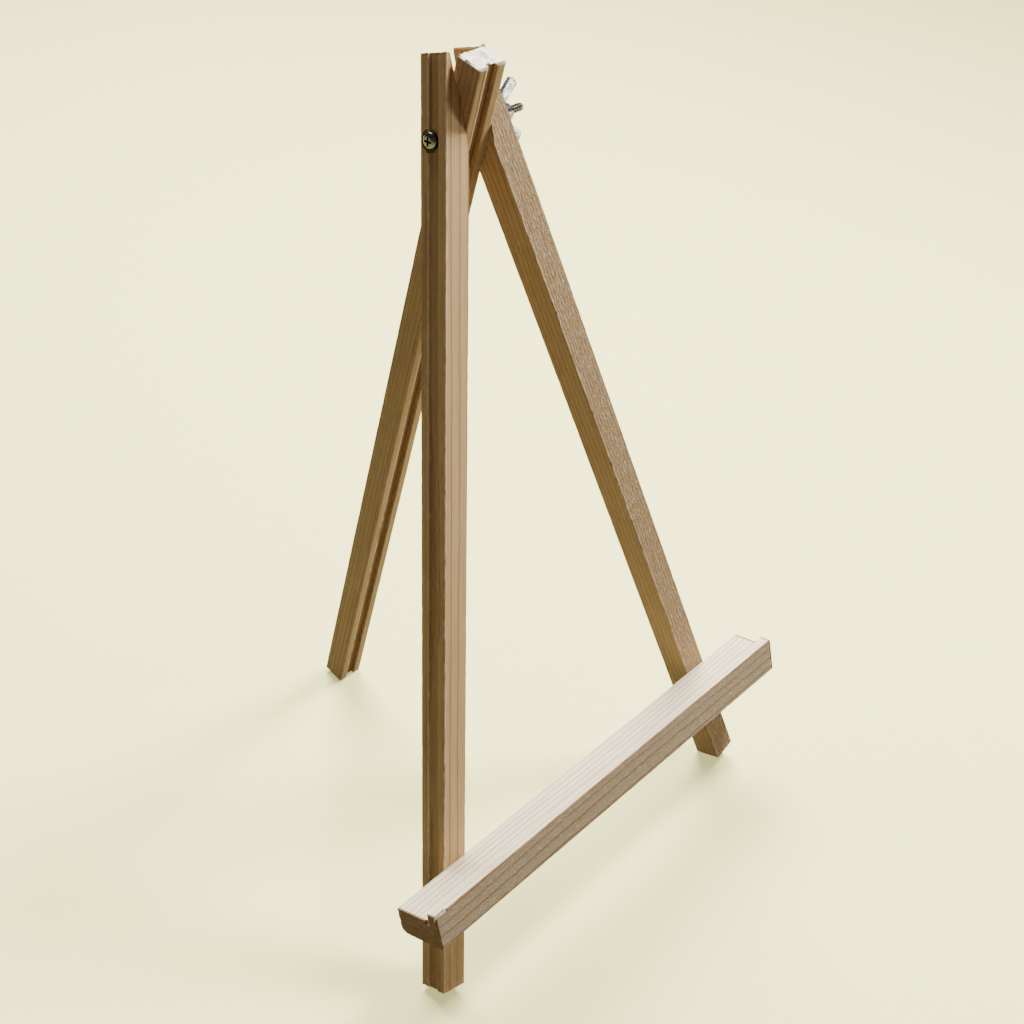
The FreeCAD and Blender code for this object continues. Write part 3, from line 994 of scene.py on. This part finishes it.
def steel(name, pale, dull, rough_low, rough_high, head_dull):
    """Worn metal between two greys; the outer end of the bolt's head can be darker."""
    metal = Finish(name)
    point = metal.place()
    patches = metal.noise(metal.stretch(point, 0.5, 0.5, 0.5), 4.0, 0.6)
    scratches = metal.noise(metal.stretch(point, 6.0, 0.8, 6.0), 2.0, 0.6)
    pits = metal.ramp(metal.noise(metal.stretch(point, 2.6, 2.6, 2.6), 1.0), [(0.68, 0), (0.80, 1)])
    patch = metal.ramp(patches, [(0.35, 0), (0.7, 1)])
    base = metal.mix(patch, pale, dull)
    base = metal.mix(pits * 0.6, base, PIT)
    # The outer end of the bolt's head is made darker.
    to_the_left = metal.split(point)[0] / -20.0
    head_end = metal.ramp(to_the_left, [(0.70, 0), (0.80, 0.70)])
    base = metal.mix(head_end * head_dull, base, HEAD_DARK)
    rough = rough_low + patch * (rough_high - rough_low) + scratches * 0.08
    metal.feed(metal.shader.inputs["Base Color"], base)
    metal.feed(metal.shader.inputs["Roughness"], rough)
    metal.feed(metal.shader.inputs["Normal"], metal.bump(patches * 0.05 + scratches * 0.012, MM))
    metal.shader.inputs["Metallic"].default_value = 1
    print("made finish", name, "with", len(metal.tree.nodes), "nodes")
    return metal.material


plated = steel("plated_steel", PLATED_PALE, PLATED_DULL, 0.16, 0.34, 1)
screw_steel = steel("screw_steel", BRIGHT_PALE, BRIGHT_DULL, 0.30, 0.48, 0)

# %% [markdown]
# ## The thread
# A rolled thread is one ridge wound round a core.  The ridge's outline is drawn for one turn,
# and the Screw modifier winds it up and joins turn to turn.  The two open ends are filled, so
# the thread is a closed solid that can be joined to a shank.

# %% Thread
THREAD_STEPS = 20
RIDGE = [(False, 0), (False, 0.12), (True, 0.42), (True, 0.58), (False, 0.88), (False, 1)]


def draw(name, points):
    """A line drawn point by point, left open in edit mode."""
    deselect()
    bpy.ops.mesh.primitive_plane_add(size=MM, location=(0, 0, 0))
    piece = bpy.context.object
    piece.name = name
    edit(piece)
    bpy.ops.mesh.select_mode(type="VERT")
    bpy.ops.mesh.select_all(action="SELECT")
    bpy.ops.mesh.merge(type="CENTER")
    bpy.ops.transform.translate(value=points[0])
    for here, there in zip(points, points[1:]):
        bpy.ops.mesh.extrude_vertices_move(TRANSFORM_OT_translate={"value": Vector(there) - Vector(here)})
    return piece


def thread(name, crest, root, pitch, low, high):
    """A closed thread on the Z axis between two levels, in millimetres."""
    turns = int((high - low) / pitch)
    points = [Vector((crest if on_top else root, 0, low + level * pitch)) * MM for on_top, level in RIDGE]
    piece = draw(name, points)
    bpy.ops.object.mode_set(mode="OBJECT")
    apply_modifier(
        piece, "SCREW", axis="Z", steps=THREAD_STEPS, render_steps=THREAD_STEPS, iterations=turns,
        screw_offset=pitch * MM, use_merge_vertices=True, merge_threshold=0.01 * MM)
    edit(piece)
    bpy.ops.mesh.select_all(action="SELECT")
    bpy.ops.mesh.remove_doubles(threshold=0.01 * MM)
    bpy.ops.mesh.select_mode(type="EDGE")
    bpy.ops.mesh.select_all(action="DESELECT")
    bpy.ops.mesh.select_non_manifold()
    bpy.ops.mesh.fill_holes(sides=0)
    bpy.ops.mesh.select_all(action="SELECT")
    bpy.ops.mesh.normals_make_consistent(inside=False)
    bpy.ops.mesh.select_all(action="DESELECT")
    bpy.ops.mesh.select_non_manifold()
    bpy.ops.object.mode_set(mode="OBJECT")
    open_edges = sum(edge.select for edge in piece.data.edges)
    print(name, "turns", turns, "faces", len(piece.data.polygons), "open edges", open_edges)
    return piece


def cross_recess(piece, reach, wide, top, sunk):
    """The cross of a screwdriver's recess, sunk into the top of a head."""
    for turn in (0, 90):
        bar = block("bar", (-reach, -wide / 2, top - sunk), (reach, wide / 2, top + MM))
        edit(bar)
        pick("FACE", lambda f: f.normal.z < -0.9)
        bpy.ops.transform.resize(value=(0.45, 0.7, 1))
        bpy.ops.object.mode_set(mode="OBJECT")
        put(bar, Matrix.Rotation(math.radians(turn), 4, "Z"))
        carve(piece, bar)


def bevel_rims(piece, test, offset, segments):
    """Round the ring edges that pass a test."""
    edit(piece)
    pick("EDGE", lambda e: abs(direction(e).z) < 0.1 and test(middle(e)))
    bpy.ops.mesh.bevel(offset=offset, segments=segments, affect="EDGES")
    bpy.ops.object.mode_set(mode="OBJECT")


# %% [markdown]
# ## The bolt
# The bolt is modelled along Z with its head down and turned along X at the end.  The head is
# a turned disc with a broad rounding that leaves a pan, then the cross is sunk in.  The shank
# is plain under the legs, and only its far end is threaded.

# %% Bolt
bolt_low, bolt_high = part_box("pivot_bolt")
HEAD_OUT = bolt_low.x + 0.02 * MM
BOLT_TIP = bolt_high.x - 0.03 * MM
THREAD_FROM = 6 * MM
HEAD_RADIUS = 3.97 * MM
SHANK_RADIUS = 1.96 * MM
TIP_RADIUS = 1.64 * MM
along_x = Matrix.Translation(PIVOT) @ Matrix.Rotation(math.pi / 2, 4, "Y")
bolt = cylinder(HEAD_RADIUS, HEAD_OUT, -HEAD_SEAT, 2, (0, 0, 0), 64)
bolt.name = "clamp_bolt"
put(bolt)
bevel_rims(bolt, lambda m: m.z < HEAD_OUT + 0.1 * MM, 2.1 * MM, 9)
bevel_rims(bolt, lambda m: m.z > -HEAD_SEAT - 0.05 * MM, 0.2 * MM, 2)
put(bolt, Matrix.Rotation(math.pi, 4, "X"))
cross_recess(bolt, 2.7 * MM, 1.15 * MM, -HEAD_OUT, 2.0 * MM)
put(bolt, Matrix.Rotation(math.pi, 4, "X"))
carve(bolt, cylinder(SHANK_RADIUS, -HEAD_SEAT - 0.5 * MM, THREAD_FROM, 2, (0, 0, 0), 40), "UNION")
carve(bolt, thread("bolt_thread", 1.96, 1.62, 0.7, THREAD_FROM / MM - 0.6, BOLT_TIP / MM - 0.75), "UNION")
tip = cylinder(TIP_RADIUS, BOLT_TIP - 2 * MM, BOLT_TIP, 2, (0, 0, 0), 40)
put(tip)
bevel_rims(tip, lambda m: m.z > BOLT_TIP - 0.05 * MM, 0.35 * MM, 2)
carve(bolt, tip, "UNION")
put(bolt, along_x)
finish_piece(bolt, plated, "front_frame", "pivot_bolt")

# %% [markdown]
# ## The washer
# A washer is stamped from sheet.  One face keeps a rolled-in edge from the punch and the other
# a sharper one, so the outer rim is rounded more on the outside than on the wood side.

# %% Washer
WASHER_RADIUS = 5.98 * MM
WASHER_BORE = 2.15 * MM
washer_low, washer_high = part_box("pivot_washer")
washer = cylinder(WASHER_RADIUS, washer_low.x + 0.02 * MM, washer_high.x - 0.02 * MM, 2, (0, 0, 0), 72)
washer.name = "flat_washer"
put(washer)
bevel_rims(washer, lambda m: m.z > (washer_low.x + washer_high.x) / 2, 0.32 * MM, 3)
bevel_rims(washer, lambda m: m.z < washer_low.x + 0.05 * MM, 0.1 * MM, 2)
carve(washer, cylinder(WASHER_BORE, 0, FAR, 2, (0, 0, 0), 48))
put(washer, along_x)
finish_piece(washer, plated, "washer_ring", "pivot_washer")

# %% [markdown]
# ## The wing nut
# A wing nut is cast, so every corner is soft and the wings melt into the hub.  Each wing is
# drawn point by point as a plate, the plates are joined to a tapered hub, and a remesh with
# smoothing gives the melted corners of a casting.  The hole is bored after that.

# %% Wing nut
NUT_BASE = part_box("wing_nut")[0].x + 0.02 * MM
HUB_HIGH = 6.45 * MM
HUB_RADII = (4.72 * MM, 4.0 * MM)
NUT_BORE = 2.1 * MM
CASTING_DETAIL = 0.22 * MM
WING_THICK = 1.9 * MM
WING_TILT = math.radians(12.5)
WING_POINTS = [(1.2, 3.0), (5.4, 3.0), (5.5, 4.8), (9.4, 7.6), (13.35, 10.7), (12.9, 12.3),
               (11.4, 14.1), (9.7, 14.75), (7.6, 13.2), (2.5, 9.0), (1.5, 6.2)]
deselect()
bpy.ops.mesh.primitive_cone_add(
    vertices=64, radius1=HUB_RADII[0], radius2=HUB_RADII[1], depth=HUB_HIGH, location=(0, 0, HUB_HIGH / 2))
nut = bpy.context.object
nut.name = "cast_wing_nut"
put(nut)
for turn in (0, math.pi):
    outline = [Vector((radius, -WING_THICK / MM / 2, high)) * MM for high, radius in WING_POINTS]
    wing = draw("wing", outline)
    bpy.ops.mesh.select_all(action="SELECT")
    bpy.ops.mesh.edge_face_add()
    bpy.ops.mesh.extrude_region_move(TRANSFORM_OT_translate={"value": (0, WING_THICK, 0)})
    bpy.ops.object.mode_set(mode="OBJECT")
    fix_normals(wing)
    put(wing, Matrix.Rotation(turn, 4, "Z"))
    carve(nut, wing, "UNION")
apply_modifier(nut, "REMESH", mode="VOXEL", voxel_size=CASTING_DETAIL)
apply_modifier(nut, "SMOOTH", factor=0.5, iterations=8)
carve(nut, cylinder(NUT_BORE, -FAR, FAR, 2, (0, 0, 0), 48))
wing_up = Vector((0, math.sin(WING_TILT), math.cos(WING_TILT)))
wing_side = Vector((1, 0, 0)).cross(wing_up)
nut_turn = Matrix((wing_up, wing_side, (1, 0, 0))).transposed().to_4x4()
put(nut, Matrix.Translation(PIVOT + Vector((NUT_BASE, 0, 0))) @ nut_turn)
finish_piece(nut, plated, "nut", "wing_nut", 60)

# %% [markdown]
# ## The ledge screws
# Two countersunk screws hold the ledge from behind.  One is modelled with its head up: a cone
# for the head, a core with a wound thread, and a pointed tip.  The second is a copy with its
# own mesh, and both stand for the one pair in the design.

# %% Ledge screws
SCREW_LONG = 30 * MM
SCREW_HEAD = 2.95 * MM
SCREW_CORE = 1.05 * MM
POINT_LONG = 4.2 * MM
deselect()
bpy.ops.mesh.primitive_cone_add(
    vertices=48, radius1=1.4 * MM, radius2=SCREW_HEAD, depth=1.7 * MM, location=(0, 0, -0.87 * MM))
screw = bpy.context.object
screw.name = "ledge_screw_left"
put(screw)
bevel_rims(screw, lambda m: m.z > -0.1 * MM, 0.15 * MM, 2)
cross_recess(screw, 1.7 * MM, 0.7 * MM, 0, 1.2 * MM)
carve(screw, cylinder(SCREW_CORE, -26 * MM, -1.6 * MM, 2, (0, 0, 0), 32), "UNION")
bpy.ops.mesh.primitive_cone_add(
    vertices=32, radius1=0.05 * MM, radius2=SCREW_CORE, depth=POINT_LONG,
    location=(0, 0, -SCREW_LONG + 2.15 * MM))
carve(screw, bpy.context.object, "UNION")
carve(screw, thread("screw_thread", 1.46, 1.0, 1.35, -26.4, -7.0), "UNION")
head_back = Matrix.Rotation(-math.pi / 2, 4, "X")
select_only(screw)
bpy.ops.object.duplicate()
twin = bpy.context.object
twin.name = "ledge_screw_right"
for part, side in ((screw, LEFT), (twin, RIGHT)):
    put(part, front_frame @ Matrix.Translation((side * SCREW_ACROSS, FRAME_BACK, SCREW_LEVEL)) @ head_back)
    finish_piece(part, screw_steel, "front_frame", "ledge_screws")
